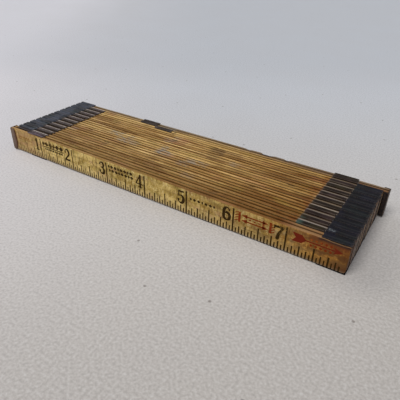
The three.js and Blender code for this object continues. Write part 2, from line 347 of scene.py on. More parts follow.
def end_grain(index):
    """Sawn slat ends: dark, dirty, with pores and rays."""
    g = Graph(f"slat_end_grain_{index:02d}")
    s = index * 11.3
    rings = g.noise((0.4, 2.6, 0.55), (0, s, s * 2), 4.0, 0.6, 1.2)
    pores = g.voronoi((2.0, 5.0, 5.0), (0, s, 0))
    blot = g.noise((0.3, 0.5, 0.25), (0, s, 4.0), 3.0)
    tone = [srgb(172, 148, 128), srgb(182, 150, 122), srgb(156, 138, 128), srgb(168, 152, 130)][index % 4]
    if index == 1:
        tone = srgb(134, 92, 58)
    col = g.mix(g.mapr(rings, 0.38, 0.62), tone, srgb(102, 82, 70))
    col = g.mix(g.mapr(blot, 0.47, 0.66, 0, 0.6), col, srgb(70, 60, 58))
    x, y, z = g.xyz()
    cell = g.math("FLOORED_MODULO", g.math("SUBTRACT", y, Y0), PITCH)
    # painted shade: each end darkened along its front and back edges, beside the gaps between slats
    gap_edge_shade = g.math("MAXIMUM", g.mapr(cell, 0.5, 0.05), g.mapr(cell, SLAT_T - 0.5, SLAT_T - 0.05))
    col = g.mix(g.math("MULTIPLY", gap_edge_shade, 0.55), col, srgb(46, 36, 32))
    col = g.mix(g.mapr(pores, 0.0, 0.22, 0.6, 0.0), col, srgb(34, 24, 20))
    n = g.bump(rings, 0.5, 0.00025)
    n = g.bump(pores, 0.4, 0.0002, n)
    return g.finish(col, 0.78, n, spec=0.3)


def enamel(name, seed, left, pale=False):
    """Black stoving enamel on steel sheet, rubbed through at the folds and edges."""
    g = Graph(name)
    x, y, z = g.xyz()
    wear = g.attr("wear")
    fine = g.noise((1.6, 3.4, 3.4), (seed, 0, seed), 4.0, 0.62)
    broad = g.noise((0.14, 0.2, 0.22), (0, seed, 0), 3.0, 0.6, 0.5)
    cloud = g.noise((0.10, 0.10, 0.1), (4.0, 9.0, 0), 3.0, 0.6, 0.6)          # runs on from clip to clip
    streak = g.noise((0.1, 3.0, 1.2), (seed, seed, 0), 4.0, 0.6)
    scratch = g.noise((0.05, 14.0, 4.0), (seed * 3, 0, 0), 2.0, 0.5)
    lp = g.math("ABSOLUTE", x)
    inner = g.mapr(lp, CLOSED / 2 - 15.4, CLOSED / 2 - 14.8, 1.0, 0.0)       # the guide-arm half of the clip
    cell = g.math("FLOORED_MODULO", g.math("SUBTRACT", y, Y0), PITCH)
    upper = g.mapr(z, Z0 + SLAT_H - 0.3, Z0 + SLAT_H)
    if pale:
        base = g.mix(g.mapr(broad, 0.35, 0.66), srgb(52, 44, 40), srgb(82, 70, 62))
        base = g.mix(g.mapr(streak, 0.46, 0.66, 0, 0.75), base, srgb(34, 26, 20))
    elif left:
        base = g.mix(g.mapr(cloud, 0.40, 0.60), srgb(34, 36, 42), srgb(68, 72, 84))
        base = g.mix(g.mapr(broad, 0.5, 0.68, 0, 0.5), base, srgb(50, 60, 56))
        base = g.mix(g.math("MULTIPLY", g.mapr(cell, 2.4, 3.6), 0.35), base, srgb(30, 30, 34))
        hue = g.noise((0.06, 0.12, 0.0), (31.0, 2.0, 0), 2.0, 0.5)
        arm = g.mix(g.mapr(hue, 0.42, 0.58), srgb(56, 40, 42), srgb(50, 43, 32))
        base = g.mix(inner, base, g.mix(g.mapr(broad, 0.4, 0.6), srgb(40, 29, 24), arm))
    else:
        base = g.mix(g.mapr(broad, 0.4, 0.68), srgb(17, 17, 20), srgb(24, 25, 34))
        hue = g.noise((0.05, 0.11, 0.0), (17.0, 6.0, 0), 2.0, 0.5)
        base = g.mix(g.mapr(cloud, 0.52, 0.66, 0, 0.6), base, srgb(22, 22, 38))
        base = g.mix(g.mapr(cloud, 0.46, 0.34, 0, 0.6), base, srgb(20, 28, 28))
        arm = g.mix(g.mapr(hue, 0.42, 0.58), srgb(48, 34, 32), srgb(45, 37, 18))
        base = g.mix(inner, base, g.mix(g.mapr(broad, 0.4, 0.62), srgb(29, 21, 13), arm))
    # lighter streaks along the sheet, painted sheen
    col = g.mix(g.mapr(streak, 0.56, 0.72, 0, 0.4), base, srgb(58, 54, 56))
    # the folds of the guide arms, rubbed bright by the neighbours that slide along them; the bright line is worn metal
    # and a painted highlight along the fold
    if left and not pale:
        line = g.math("MULTIPLY", g.mapr(cell, 3.72, 4.08), g.mapr(streak, 0.32, 0.58, 0.35, 1.0))
        col = g.mix(g.math("MULTIPLY", g.math("MULTIPLY", line, inner), upper), col,
                    g.mix(g.mapr(fine, 0.4, 0.62), srgb(232, 220, 212), srgb(182, 162, 152)))
        # painted highlight streaks in mauve along the front arm's top
        front_arm_sheen = g.math("MULTIPLY", g.mapr(y, Y0 + 3.2, Y0 + 2.6), g.mapr(g.noise((0.10, 4.5, 0.0), (6.0, 2.0, 0)), 0.44, 0.62, 0.05, 0.7))
        col = g.mix(g.math("MULTIPLY", g.math("MULTIPLY", front_arm_sheen, inner), upper), col, srgb(136, 116, 130))
        faint = g.math("MULTIPLY", g.mapr(cell, 2.75, 2.95), g.mapr(cell, 3.15, 3.3, 1.0, 0.0))
        col = g.mix(g.math("MULTIPLY", g.math("MULTIPLY", faint, inner), g.math("MULTIPLY", upper, 0.45)), col, srgb(132, 116, 108))
    elif not pale:
        line = g.math("MULTIPLY", g.mapr(cell, 4.05, 4.15), g.mapr(cell, 4.45, 4.6, 1.0, 0.0))
        line = g.math("MULTIPLY", line, g.mapr(streak, 0.44, 0.64, 0.0, 0.35))
        col = g.mix(g.math("MULTIPLY", g.math("MULTIPLY", line, inner), upper), col, srgb(124, 108, 92))
        # the front arm carries a green tinge, the corner beside it a bright scrape
        tinge = g.math("MULTIPLY", g.mapr(x, SLAT_X1 - CLIP_L + 3.5, SLAT_X1 - CLIP_L + 0.6), g.mapr(y, Y0 + 2.1 * PITCH, Y0 + 1.7 * PITCH))
        col = g.mix(g.math("MULTIPLY", tinge, 0.42), col, srgb(80, 112, 102))
        scrape = g.math("MULTIPLY", g.mapr(x, SLAT_X1 - 11.9, SLAT_X1 - 11.3), g.mapr(x, SLAT_X1 - 8.4, SLAT_X1 - 9.4))
        scrape = g.math("MULTIPLY", scrape, g.math("MULTIPLY", g.mapr(y, Y0 + 1.15 * PITCH, Y0 + 1.25 * PITCH), g.mapr(y, Y0 + 1.62 * PITCH, Y0 + 1.5 * PITCH)))
        col = g.mix(g.math("MULTIPLY", scrape, g.mapr(fine, 0.42, 0.6, 0.0, 0.8)), col, srgb(118, 124, 128))
    rubbed = g.math("MULTIPLY", wear, g.mapr(fine, 0.40, 0.58), clamp=True)
    scr = g.mapr(scratch, 0.72, 0.78, 0, 0.5)
    rubbed = g.math("MAXIMUM", rubbed, scr, clamp=True)
    steel = g.mix(g.mapr(fine, 0.45, 0.7), srgb(158, 148, 142), srgb(104, 84, 70)) if left else g.mix(g.mapr(fine, 0.45, 0.7), srgb(118, 108, 104), srgb(84, 64, 52))
    col = g.mix(rubbed, col, steel)
    metal = g.math("MULTIPLY", rubbed, 0.5)
    rough = g.mapr(fine, 0.3, 0.7, 0.34, 0.58, smooth=False)
    n = g.bump(fine, 0.3, 0.00010)
    n = g.bump(broad, 0.4, 0.0005, n)
    return g.finish(col, rough, n, metallic=metal, spec=0.15 if left and not pale else 0.08)


def cap_metal(name, seed, light):
    """Thin brass cap gone dark brown; the finish cap's darker copy is painted shade."""
    g = Graph(name)
    fine = g.noise((1.2, 2.0, 1.1), (seed, 0, 0), 5.0, 0.65)
    broad = g.noise((0.22, 0.3, 0.16), (0, seed, 0), 3.0, 0.6, 0.6)
    # light=False is the finish cap: the same brass painted far darker, painted shade
    tone = (srgb(118, 99, 86), srgb(88, 68, 57)) if light else (srgb(42, 36, 38), srgb(28, 24, 27))
    col = g.mix(g.mapr(broad, 0.36, 0.64), *tone)
    if light:
        # a painted shadow line: the curved edge of the side tab painted browner and darker
        px, py, pz = g.xyz()
        col = g.mix(g.mapr(px, X0 + 2.0, X0 + 3.6, 0.0, 0.85), col, srgb(98, 58, 36))
    col = g.mix(g.mapr(fine, 0.50, 0.80, 0, 0.4), col, srgb(112, 88, 70) if light else srgb(72, 58, 54))
    col = g.mix(g.mapr(fine, 0.46, 0.25, 0, 0.5), col, srgb(34, 28, 26))
    rub = g.math("MULTIPLY", g.attr("wear"), g.mapr(fine, 0.42, 0.6), clamp=True)
    col = g.mix(rub, col, srgb(156, 126, 94) if light else srgb(104, 84, 66))
    n = g.bump(fine, 0.3, 0.00010)
    n = g.bump(broad, 0.3, 0.0004, n)
    return g.finish(col, g.mapr(fine, 0.3, 0.7, 0.36, 0.58, smooth=False), n,
                    metallic=g.mapr(rub, 0.0, 1.0, 0.35, 0.7), spec=0.4)


def ink(name, color, under, fade_lo, fade_hi, seed):
    """Printing ink that has rubbed thin in places, so that the varnish shows through."""
    g = Graph(name)
    fine = g.noise((1.4, 1.4, 1.4), (seed, seed, 0), 4.0, 0.65)
    broad = g.noise((0.10, 0.3, 0.22), (0, seed, seed), 3.0)
    f = g.math("ADD", g.math("MULTIPLY", fine, 0.55), g.math("MULTIPLY", broad, 0.45))
    x, y, z = g.xyz()
    shift = g.mapr(x, X0 + 22.0, X0 + 62.0, 0.13, 0.0)
    f = g.math("ADD", f, shift)
    col = g.mix(g.mapr(f, fade_lo, fade_hi), color, under)
    n = g.bump(fine, 0.2, 0.00006)
    return g.finish(col, g.mapr(fine, 0.3, 0.7, 0.55, 0.75, smooth=False), n, spec=0.06)


# ---------------------------------------------------------------- mesh helpers
rng_cache = {}


def wave(x, seed, length, octaves=3):
    """Smooth repeatable noise along x, from -1 to 1."""
    x = np.asarray(x, float)
    out = np.zeros_like(x)
    amp, total = 1.0, 0.0
    for o in range(octaves):
        key = (seed, o)
        if key not in rng_cache:
            rng_cache[key] = np.random.RandomState((seed * 131 + o * 17 + 5) % 2**31).uniform(-1, 1, 2048)
        table = rng_cache[key]
        u = x / (length / 2**o) + 700.0
        k = np.floor(u).astype(int)
        f = u - k
        f = f * f * (3 - 2 * f)
        out += amp * (table[k % 2048] * (1 - f) + table[(k + 1) % 2048] * f)
        total += amp
        amp *= 0.5
    return out / total


def mesh_object(name, verts, faces, materials=(), mat_index=None, attrs=None, smooth=True):
    me = bpy.data.meshes.new(name)
    me.from_pydata([tuple(v) for v in np.asarray(verts) * MM], [], faces)
    for mt in materials:
        me.materials.append(mt)
    if mat_index is not None:
        me.polygons.foreach_set("material_index", np.asarray(mat_index, np.int32))
    for key, val in (attrs or {}).items():
        a = me.attributes.new(key, "FLOAT", "POINT")
        a.data.foreach_set("value", np.clip(np.asarray(val, np.float32), 0, 1))
    me.polygons.foreach_set("use_smooth", [smooth] * len(me.polygons))
    me.update()
    ob = bpy.data.objects.new(name, me)
    scene.collection.objects.link(ob)
    return ob


def smooth_by_angle(ob, degrees=35.0):
    """Smooth shading with the sharp edges kept."""
    me = ob.data
    bm = bmesh.new()
    bm.from_mesh(me)
    lim = math.radians(degrees)
    for e in bm.edges:
        e.smooth = not (len(e.link_faces) == 2 and e.calc_face_angle(0.0) > lim)
    for f in bm.faces:
        f.smooth = True
    bm.to_mesh(me)
    bm.free()


def rounded(points, radii, steps=3):
    """A closed outline with its corners rounded. radii is one number or one for each corner."""
    pts = [np.array(p, float) for p in points]
    n = len(pts)
    if not hasattr(radii, "__len__"):
        radii = [radii] * n
    out = []
    for k in range(n):
        a, b, c = pts[k - 1], pts[k], pts[(k + 1) % n]
        r = radii[k]
        u, v = a - b, c - b
        lu, lv = np.linalg.norm(u), np.linalg.norm(v)
        u, v = u / lu, v / lv
        cosang = float(np.clip(u @ v, -1, 1))
        half = math.acos(cosang) / 2
        if r <= 0 or half > math.pi / 2 - 0.02:
            out.append(b)
            continue
        d = min(r / math.tan(half), lu * 0.49, lv * 0.49)
        p0, p1 = b + u * d, b + v * d
        for t in np.linspace(0, 1, steps + 1):
            out.append((1 - t) ** 2 * p0 + 2 * t * (1 - t) * b + t * t * p1)
    return np.array(out)


# ---------------------------------------------------------------- slats
# (slat, x in mm from the start cap, half length, depth taken off the top ridges, darkness of stained wood and painted
# shade in the chip, which ridge)
SCARS = [
    (12, 142.0, 3.4, 0.55, 0.95, "back"), (12, 153.8, 1.6, 0.35, 0.7, "back"), (12, 131.0, 2.0, 0.3, 0.5, "back"),
    (11, 84.5, 1.2, 0.3, 0.5, "both"), (9, 118.5, 5.0, 0.10, 0.34, "both"), (10, 117.5, 4.5, 0.10, 0.36, "both"), (8, 119.5, 3.5, 0.05, 0.22, "both"),
    (9, 90.5, 2.2, 0.3, 0.35, "back"), (1, 199.0, 4.0, 0.25, 0.35, "front"), (4, 61.0, 2.5, 0.25, 0.3, "both"),
    (2, 139.0, 2.0, 0.2, 0.3, "front"), (7, 166.0, 2.5, 0.2, 0.3, "back"), (5, 151.0, 2.0, 0.2, 0.3, "front"),
    (6, 41.0, 1.5, 0.2, 0.3, "both"), (8, 60.0, 2.0, 0.2, 0.3, "front"),
]
# pale dusty rubs: (slat, x, half length, strength)
PALES = [(7, 57.0, 7.0, 0.9), (6, 66.0, 6.0, 0.8), (6, 74.0, 5.0, 0.6), (7, 68.0, 4.0, 0.6), (6, 95.0, 6.5, 1.0),
         (7, 92.0, 3.0, 0.7), (6, 116.0, 8.0, 0.7), (5, 110.0, 5.0, 0.5), (9, 88.0, 4.0, 0.5), (10, 90.0, 3.0, 0.5),
         (12, 77.0, 7.5, 0.9), (5, 31.0, 4.0, 0.4), (3, 120.0, 5.0, 0.3), (8, 133.0, 4.0, 0.35)]


def slat_profile():
    """Half of the cross-section is mirrored: (y, z, role). Roles: F face, C corner, R ridge top, G groove lip, D groove floor."""
    r = 0.34
    right = []
    zmid = SLAT_H / 2
    for z in np.linspace(zmid, SLAT_H - r, 7)[:-1]:
        right.append((SLAT_T, z, "F"))
    for a in np.linspace(0, math.pi / 2, 5):
        right.append((SLAT_T - r + r * math.cos(a), SLAT_H - r + r * math.sin(a), "C"))
    for y in np.linspace(SLAT_T - r, G1 + 0.1, 4)[1:]:
        right.append((y, SLAT_H, "R"))
    right.append((G1 + 0.02, SLAT_H - 0.06, "G"))
    right.append((G1, SLAT_H - 0.22, "G"))
    right.append((G1, SLAT_H - GROOVE_D + 0.15, "D"))
    right.append((G1 - 0.12, SLAT_H - GROOVE_D, "D"))
    top = right + [(SLAT_T - y, z, k) for y, z, k in reversed(right)]
    bottom = [(SLAT_T - y, SLAT_H - z, k) for y, z, k in top]
    return top[:-1] + bottom[:-1] if abs(top[-1][1] - zmid) < 1e-9 else top + bottom


def stain(xs):
    """How dark the grooves and gaps are along the row: darkest at the handled right end."""
    t = np.clip((np.asarray(xs) - 5.0) / 60.0, 0, 1)
    return 0.78 + 0.22 * t * t * (3 - 2 * t)


def build_slat(i):
    lo, hi = (np.array(v) * 1000 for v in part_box(f"slat_{i:02d}"))
    prof = slat_profile()
    P = np.array([(a, b) for a, b, _ in prof])
    role = [k for _, _, k in prof]
    K = len(P)
    ch = 0.22
    # sawn by eye: bare ends stop a hair short of the line
    rs = np.random.RandomState(900 + i)
    if i > 1:
        lo[0] += rs.uniform(0.0, 0.28)
    if i < N:
        hi[0] -= rs.uniform(0.0, 0.28)
    xs = np.concatenate([[lo[0], lo[0] + ch * 0.35, lo[0] + ch], np.linspace(lo[0] + 0.6, lo[0] + 3.0, 5),
                         np.linspace(lo[0] + 4.2, hi[0] - 4.2, 148),
                         np.linspace(hi[0] - 3.0, hi[0] - 0.6, 5), [hi[0] - ch, hi[0] - ch * 0.35, hi[0]]])
    inset = np.zeros(len(xs))
    inset[0] = inset[-1] = ch
    inset[1] = inset[-2] = ch * 0.35
    M = len(xs)
    isface = np.array([k == "F" for k in role])
    iscorner = np.array([k == "C" for k in role])
    isridge = np.array([k == "R" for k in role])
    isgroove = np.array([k in "GD" for k in role])
    cy, cz = SLAT_T / 2, SLAT_H / 2
    local = xs - X0
    V = np.zeros((M, K, 3))
    wear = np.zeros((M, K))
    dirt_and_gap_shade = np.zeros((M, K))
    chip_stain_and_shade = np.zeros((M, K))
    pale = np.zeros((M, K))
    edge = np.zeros((M, K))
    for k in range(K):
        y, z = P[k]
        top_side = z > cz
        back_side = y > cy
        V[:, k, 0] = xs
        yy = np.full(M, y)
        zz = np.full(M, z)
        seed = i * 40 + (2 if top_side else 0) + (1 if back_side else 0)
        if iscorner[k]:
            amt = 0.03 + 0.10 * np.clip(wave(xs, seed, 9.0, 4), 0, 1) ** 1.3 + 0.16 * np.clip(wave(xs, seed + 7, 23.0, 2) - 0.45, 0, 1)
            yy += np.where(back_side, -1, 1) * amt * 0.6
            zz += np.where(top_side, -1, 1) * amt * 0.7
            wear[:, k] = 0.30 + 0.8 * np.clip(wave(xs, seed, 9.0, 4), 0, 1)
            edge[:, k] = np.clip((abs(z - cz) - (cz - 0.34)) / 0.2, 0, 1)
        if isridge[k]:
            amt = 0.03 * (1 + wave(xs, seed + 3, 14.0, 3))
            zz += np.where(top_side, -1, 1) * amt
            edge[:, k] = 1
        if isgroove[k]:
            edge[:, k] = 1
            depth = (abs(z - cz) - (cz - GROOVE_D)) / GROOVE_D
            dirt_and_gap_shade[:, k] = np.clip(1.05 - 0.75 * depth, 0, 1) * 0.95 * stain(xs)
        if role[k] == "G" and abs(z - cz) > cz - 0.1:
            dirt_and_gap_shade[:, k] = 0.25 + 0.2 * wave(xs, seed + 11, 6.0, 3)
        gap_side = (i > 1 and not back_side) or (i < N and back_side)
        # painted shade: the corners and faces that look into the gaps between slats are darkened
        if iscorner[k] and gap_side:
            up = abs(z - cz) - (cz - 0.34)
            dirt_and_gap_shade[:, k] = np.clip(0.74 - 2.5 * up, 0, 1) * stain(xs)
        if isface[k] and gap_side and abs(z - cz) > cz - 1.5:
            dirt_and_gap_shade[:, k] = 0.76 * stain(xs)
        elif isface[k]:
            dirt_and_gap_shade[:, k] = np.clip(0.05 + 0.35 * np.clip((abs(z - cz) - (cz - 1.8)) / 1.8, 0, 1) * (0.5 + 0.5 * wave(xs, seed + 19, 12.0, 3)), 0, 1)
        for sl, cx, half, depth, dark, side in SCARS:
            if sl != i or not top_side or isface[k]:
                continue
            if side == "back" and not back_side or side == "front" and back_side:
                continue
            jag = 0.35 * wave(xs, seed + 29, 1.6, 2)
            w = np.clip((half - np.abs(local - cx)) / 0.8 + jag, 0, 1)
            if not isgroove[k] or role[k] == "G":
                zz -= depth * w
            chip_stain_and_shade[:, k] = np.maximum(chip_stain_and_shade[:, k], dark * w)
        for sl, cx, half, strength in PALES:
            if sl == i and top_side and not isface[k] and role[k] != "D":
                w = np.clip((half - np.abs(local - cx)) / (half * 0.6), 0, 1) * strength
                pale[:, k] = np.maximum(pale[:, k], w)
        # the ends are broken: everything pulls in towards the middle of the section
        sy, sz = np.sign(cy - y) if abs(y - cy) > GROOVE_W / 2 + 0.01 else 0.0, np.sign(cz - z)
        if isgroove[k] and role[k] == "D":
            sz = 0.0
        V[:, k, 1] = lo[1] + yy + sy * inset * (0.8 if not isgroove[k] else 0)
        V[:, k, 2] = lo[2] + zz + sz * inset * (0.8 if not (isgroove[k] and role[k] == "D") else 0)
        if i == 1 and not top_side:           # the handled corner is worn round
            r = 1.3 if not back_side else 0.6
            q = np.clip(xs - (hi[0] - r), 0, r)
            V[:, k, 2] += (r - np.sqrt(np.maximum(r * r - q * q, 0))) * np.clip((cz - z) / cz * 1.6 - 0.5, 0, 1)
        # dirt gathers near both ends and by the clips
        enddirt = 0.30 * np.exp(-(xs - lo[0]) / 2.0) + 0.30 * np.exp(-(hi[0] - xs) / 2.2)
        dirt_and_gap_shade[:, k] = np.clip(dirt_and_gap_shade[:, k] + enddirt * (0.7 + 0.3 * wave(xs, seed + 23, 3.0, 2)), 0, 1)
    verts = V.reshape(-1, 3)
    faces, mats = [], []
    for a in range(M - 1):
        for k in range(K):
            b = (k + 1) % K
            faces.append((a * K + k, a * K + b, (a + 1) * K + b, (a + 1) * K + k))
            mats.append(0)
    faces.append(tuple(range(K - 1, -1, -1)))
    faces.append(tuple((M - 1) * K + k for k in range(K)))
    mats += [1, 1]
    ob = mesh_object(f"slat_{i:02d}_wood", verts, faces, [wood(i), end_grain(i)], mats,
                     {"wear": wear.ravel(), "dirt_and_gap_shade": dirt_and_gap_shade.ravel(), "chip_stain_and_shade": chip_stain_and_shade.ravel(), "pale": pale.ravel(), "edge": edge.ravel()})
    bm = bmesh.new()
    bm.from_mesh(ob.data)
    bmesh.ops.recalc_face_normals(bm, faces=bm.faces)
    bm.to_mesh(ob.data)
    bm.free()
    smooth_by_angle(ob, 50)
    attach(ob, f"section_{i:02d}")
    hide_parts(f"slat_{i:02d}")
    return ob


for i in range(1, N + 1):
    build_slat(i)


# ---------------------------------------------------------------- clips
HZ0, HZ1, HZ2, HZ3 = -OVER - SHEET, -OVER, SLAT_H + OVER, SLAT_H + OVER + SHEET
PY1 = PY0 + SHEET


def prism_mesh(outline, xs, jitter_seed=0):
    """Closed solid: an outline in (y, z), drawn along X through the stations xs."""
    K = len(outline)
    verts = []
    for x in xs:
        for y, z in outline:
            verts.append((x, y, z))
    faces = []
    for a in range(len(xs) - 1):
        for k in range(K):
            b = (k + 1) % K
            faces.append((a * K + k, a * K + b, (a + 1) * K + b, (a + 1) * K + k))
    faces.append(tuple(range(K - 1, -1, -1)))
    faces.append(tuple((len(xs) - 1) * K + k for k in range(K)))
    me = bpy.data.meshes.new("part")
    me.from_pydata(verts, [], faces)
    bm = bmesh.new()
    bm.from_mesh(me)
    bmesh.ops.recalc_face_normals(bm, faces=bm.faces)
    bm.to_mesh(me)
    bm.free()
    ob = bpy.data.objects.new("part", me)
    scene.collection.objects.link(ob)
    return ob


def hold_outline():
    f = 0.08
    c = SLAT_T / 2
    d = 0.62                                  # the crimp pressed down into the groove
    top = [(f, HZ3), (f, HZ2), (c - 0.52, HZ2), (c - 0.16, HZ2 - d), (c + 0.16, HZ2 - d), (c + 0.52, HZ2), (PY0, HZ2)]
    outer = [(PY1, HZ3), (c + 0.66, HZ3), (c + 0.22, HZ3 - d + 0.05), (c - 0.22, HZ3 - d + 0.05), (c - 0.66, HZ3)]
    r_in = [0.12, 0.12, 0.12, 0.12, 0.12, 0.12, 0.10]
    r_out = [0.34, 0.16, 0.16, 0.16, 0.16]
    mirror = lambda p: (p[0], SLAT_H - p[1])
    pts = top + [mirror(p) for p in reversed(top)] + [mirror(p) for p in reversed(outer)] + outer
    rad = r_in + r_in[::-1] + r_out[::-1] + r_out
    return rounded(pts, rad, 3)


def guide_outline(wide):
    m2 = lambda p: (p[0], SLAT_H - p[1])
    if wide:
        f = PITCH + SLAT_T - 0.08
        c = PITCH + SLAT_T / 2
        d = 0.62
        inner = [(PY1, HZ2), (c - 0.52, HZ2), (c - 0.16, HZ2 - d), (c + 0.16, HZ2 - d), (c + 0.52, HZ2), (f, HZ2), (f, HZ3)]
        outer = [(c + 0.66, HZ3), (c + 0.22, HZ3 - d + 0.05), (c - 0.22, HZ3 - d + 0.05), (c - 0.66, HZ3), (PY0, HZ3)]
        r_in = [0.10, 0.12, 0.12, 0.12, 0.12, 0.12, 0.12]
        r_out = [0.16, 0.16, 0.16, 0.16, 0.34]
    else:
        l0 = PITCH + G0 + 0.07
        l1 = l0 + 0.34
        inner = [(PY1, HZ2), (l0, HZ2), (l0, SLAT_H - 1.05), (l1, SLAT_H - 1.05)]
        outer = [(l1, HZ3), (PY0, HZ3)]
        r_in = [0.10, 0.10, 0.10, 0.10]
        r_out = [0.30, 0.34]
    chain = inner + outer                    # top half, from the inside fold round to the outside fold
    rad = r_in + r_out
    pts = chain + [m2(p) for p in reversed(chain)]
    return rounded(pts, rad + rad[::-1], 3)


def union(parts):
    base = parts[0]
    bpy.context.view_layer.objects.active = base
    for p in parts[1:]:
        md = base.modifiers.new("join", "BOOLEAN")
        md.operation = "UNION"
        md.solver = "EXACT"
        md.object = p
        dg = bpy.context.evaluated_depsgraph_get()
        new = bpy.data.meshes.new_from_object(base.evaluated_get(dg))
        base.modifiers.clear()
        base.data = new
        bpy.data.objects.remove(p)
    return base


def clip_template(wide):
    """A right clip in the frame of its own slat, x = 0 at its outer end, pointing to -x. In mm."""
    L, mid, slit = CLIP_L, CLIP_L / 2, 0.4
    e = 0.012
    hold = prism_mesh(hold_outline(), np.linspace(-mid + slit / 2, 0, 15))
    guide = prism_mesh(guide_outline(wide), np.linspace(-L, -mid - slit / 2, 15))
    web = prism_mesh([(PY0 + e, HZ0 + 0.3), (PY1 - e, HZ0 + 0.3), (PY1 - e, HZ3 - 0.3), (PY0 + e, HZ3 - 0.3)],
                     np.linspace(-L + e, -e, 15))
    ob = union([web, hold, guide])
    me = ob.data
    bm = bmesh.new()
    bm.from_mesh(me)
    bmesh.ops.remove_doubles(bm, verts=bm.verts, dist=1e-4)
    bmesh.ops.recalc_face_normals(bm, faces=bm.faces)
    bm.to_mesh(me)
    bm.free()
    bpy.data.objects.remove(ob)
    return me


templates = {False: clip_template(False), True: clip_template(True)}


def build_clip(node, body, slat, wide, turned, near_x, seed, material):
    """near_x is the clip's outer end, in row x. A turned clip is the same part, half round about Z."""
    src = templates[wide]
    co = np.zeros(len(src.vertices) * 3, np.float64)
    src.vertices.foreach_get("co", co)
    co = co.reshape(-1, 3)
    x, y, z = co[:, 0].copy(), co[:, 1].copy(), co[:, 2].copy()
    # wear: folds, lips, flange tips and the two ends
    def near(v, t, w):
        return np.clip(1 - np.abs(v - t) / w, 0, 1)
    topz = np.maximum(near(z, HZ3, 0.5), near(z, HZ0, 0.5))
    hold = x > -CLIP_L / 2
    fold = np.where(hold, near(y, PY1, 0.34), near(y, PY0, 0.34)) * topz
    tip = np.where(hold, near(y, 0.08, 0.3), 0) * topz
    ends = np.maximum(near(x, 0, 0.25), near(x, -CLIP_L, 0.25)) * 0.8
    slit = near(x, -CLIP_L / 2, 0.5) * 0.6
    strength = (1.0 if turned else 0.35)
    lipline = np.where(hold, 0.0, np.maximum(near(y, PITCH + G0 + 0.4, 0.22), near(y, PITCH * 0.5 + PY0 * 0.5 + 0.9, 0.16) * 0.7)) * topz
    wear = np.clip(np.where(hold, 0.25 if turned else 0.15, 0.95 * strength) * fold + (0.7 if turned else 0.0) * lipline + 0.25 * tip + 0.5 * ends * topz + 0.35 * slit * topz + 0.05 * topz, 0, 1)
    # hand-worked sheet: the flanges dip, always inwards
    q = np.where(hold, y, y - PITCH)
    down = 0.05 * (1 + wave(x + seed * 13.0, seed, 6.0, 3)) * np.clip(1 - np.abs(q - SLAT_T * 0.5) / SLAT_T, 0, 1)
    z = np.where(z > SLAT_H + OVER + 0.05, z - down * 0.9, z)
    z = np.where(z < -OVER - 0.05, z + down * 0.9, z)
    sgn = -1.0 if turned else 1.0
    yb = Y0 + (slat - 1) * PITCH
    rs = np.random.RandomState(seed)
    j0, j1 = rs.uniform(0.0, 0.16), rs.uniform(0.0, 0.16)      # cut a little short at either end
    X = near_x + sgn * (x * (1 - (j0 + j1) / CLIP_L) - j0)
    Y = yb + y if not turned else yb + SLAT_T - y
    me = src.copy()
    me.name = node + "_sheet"
    out = np.stack([X, Y, z + Z0], 1) * MM
    me.vertices.foreach_set("co", out.ravel())
    me.materials.clear()
    me.materials.append(material)
    me.polygons.foreach_set("material_index", [0] * len(me.polygons))
    a = me.attributes.new("wear", "FLOAT", "POINT")
    a.data.foreach_set("value", wear.astype(np.float32))
    me.update()
    ob = bpy.data.objects.new(node + "_sheet", me)
    scene.collection.objects.link(ob)
    smooth_by_angle(ob, 40)
    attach(ob, body)
    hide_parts(node)
    return ob


for i in range(1, N):
    lo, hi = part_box(f"right_clip_{i:02d}")
    build_clip(f"right_clip_{i:02d}", f"section_{i:02d}", i, i == N - 1, False, hi.x * 1000, 50 + i,
               enamel(f"right_clip_enamel_{i:02d}", 3.0 + i * 1.7, False))
for i in range(2, N + 1):
    lo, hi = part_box(f"left_clip_{i:02d}")
    build_clip(f"left_clip_{i:02d}", f"section_{i:02d}", i, i == 2, True, lo.x * 1000, 80 + i,
               enamel(f"left_clip_enamel_{i:02d}", 41.0 + i * 2.3, True))
lo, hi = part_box("stop_clip")
build_clip("stop_clip", "section_12", 12, False, True, lo.x * 1000, 99, enamel("stop_clip_enamel", 77.0, True, pale=True))


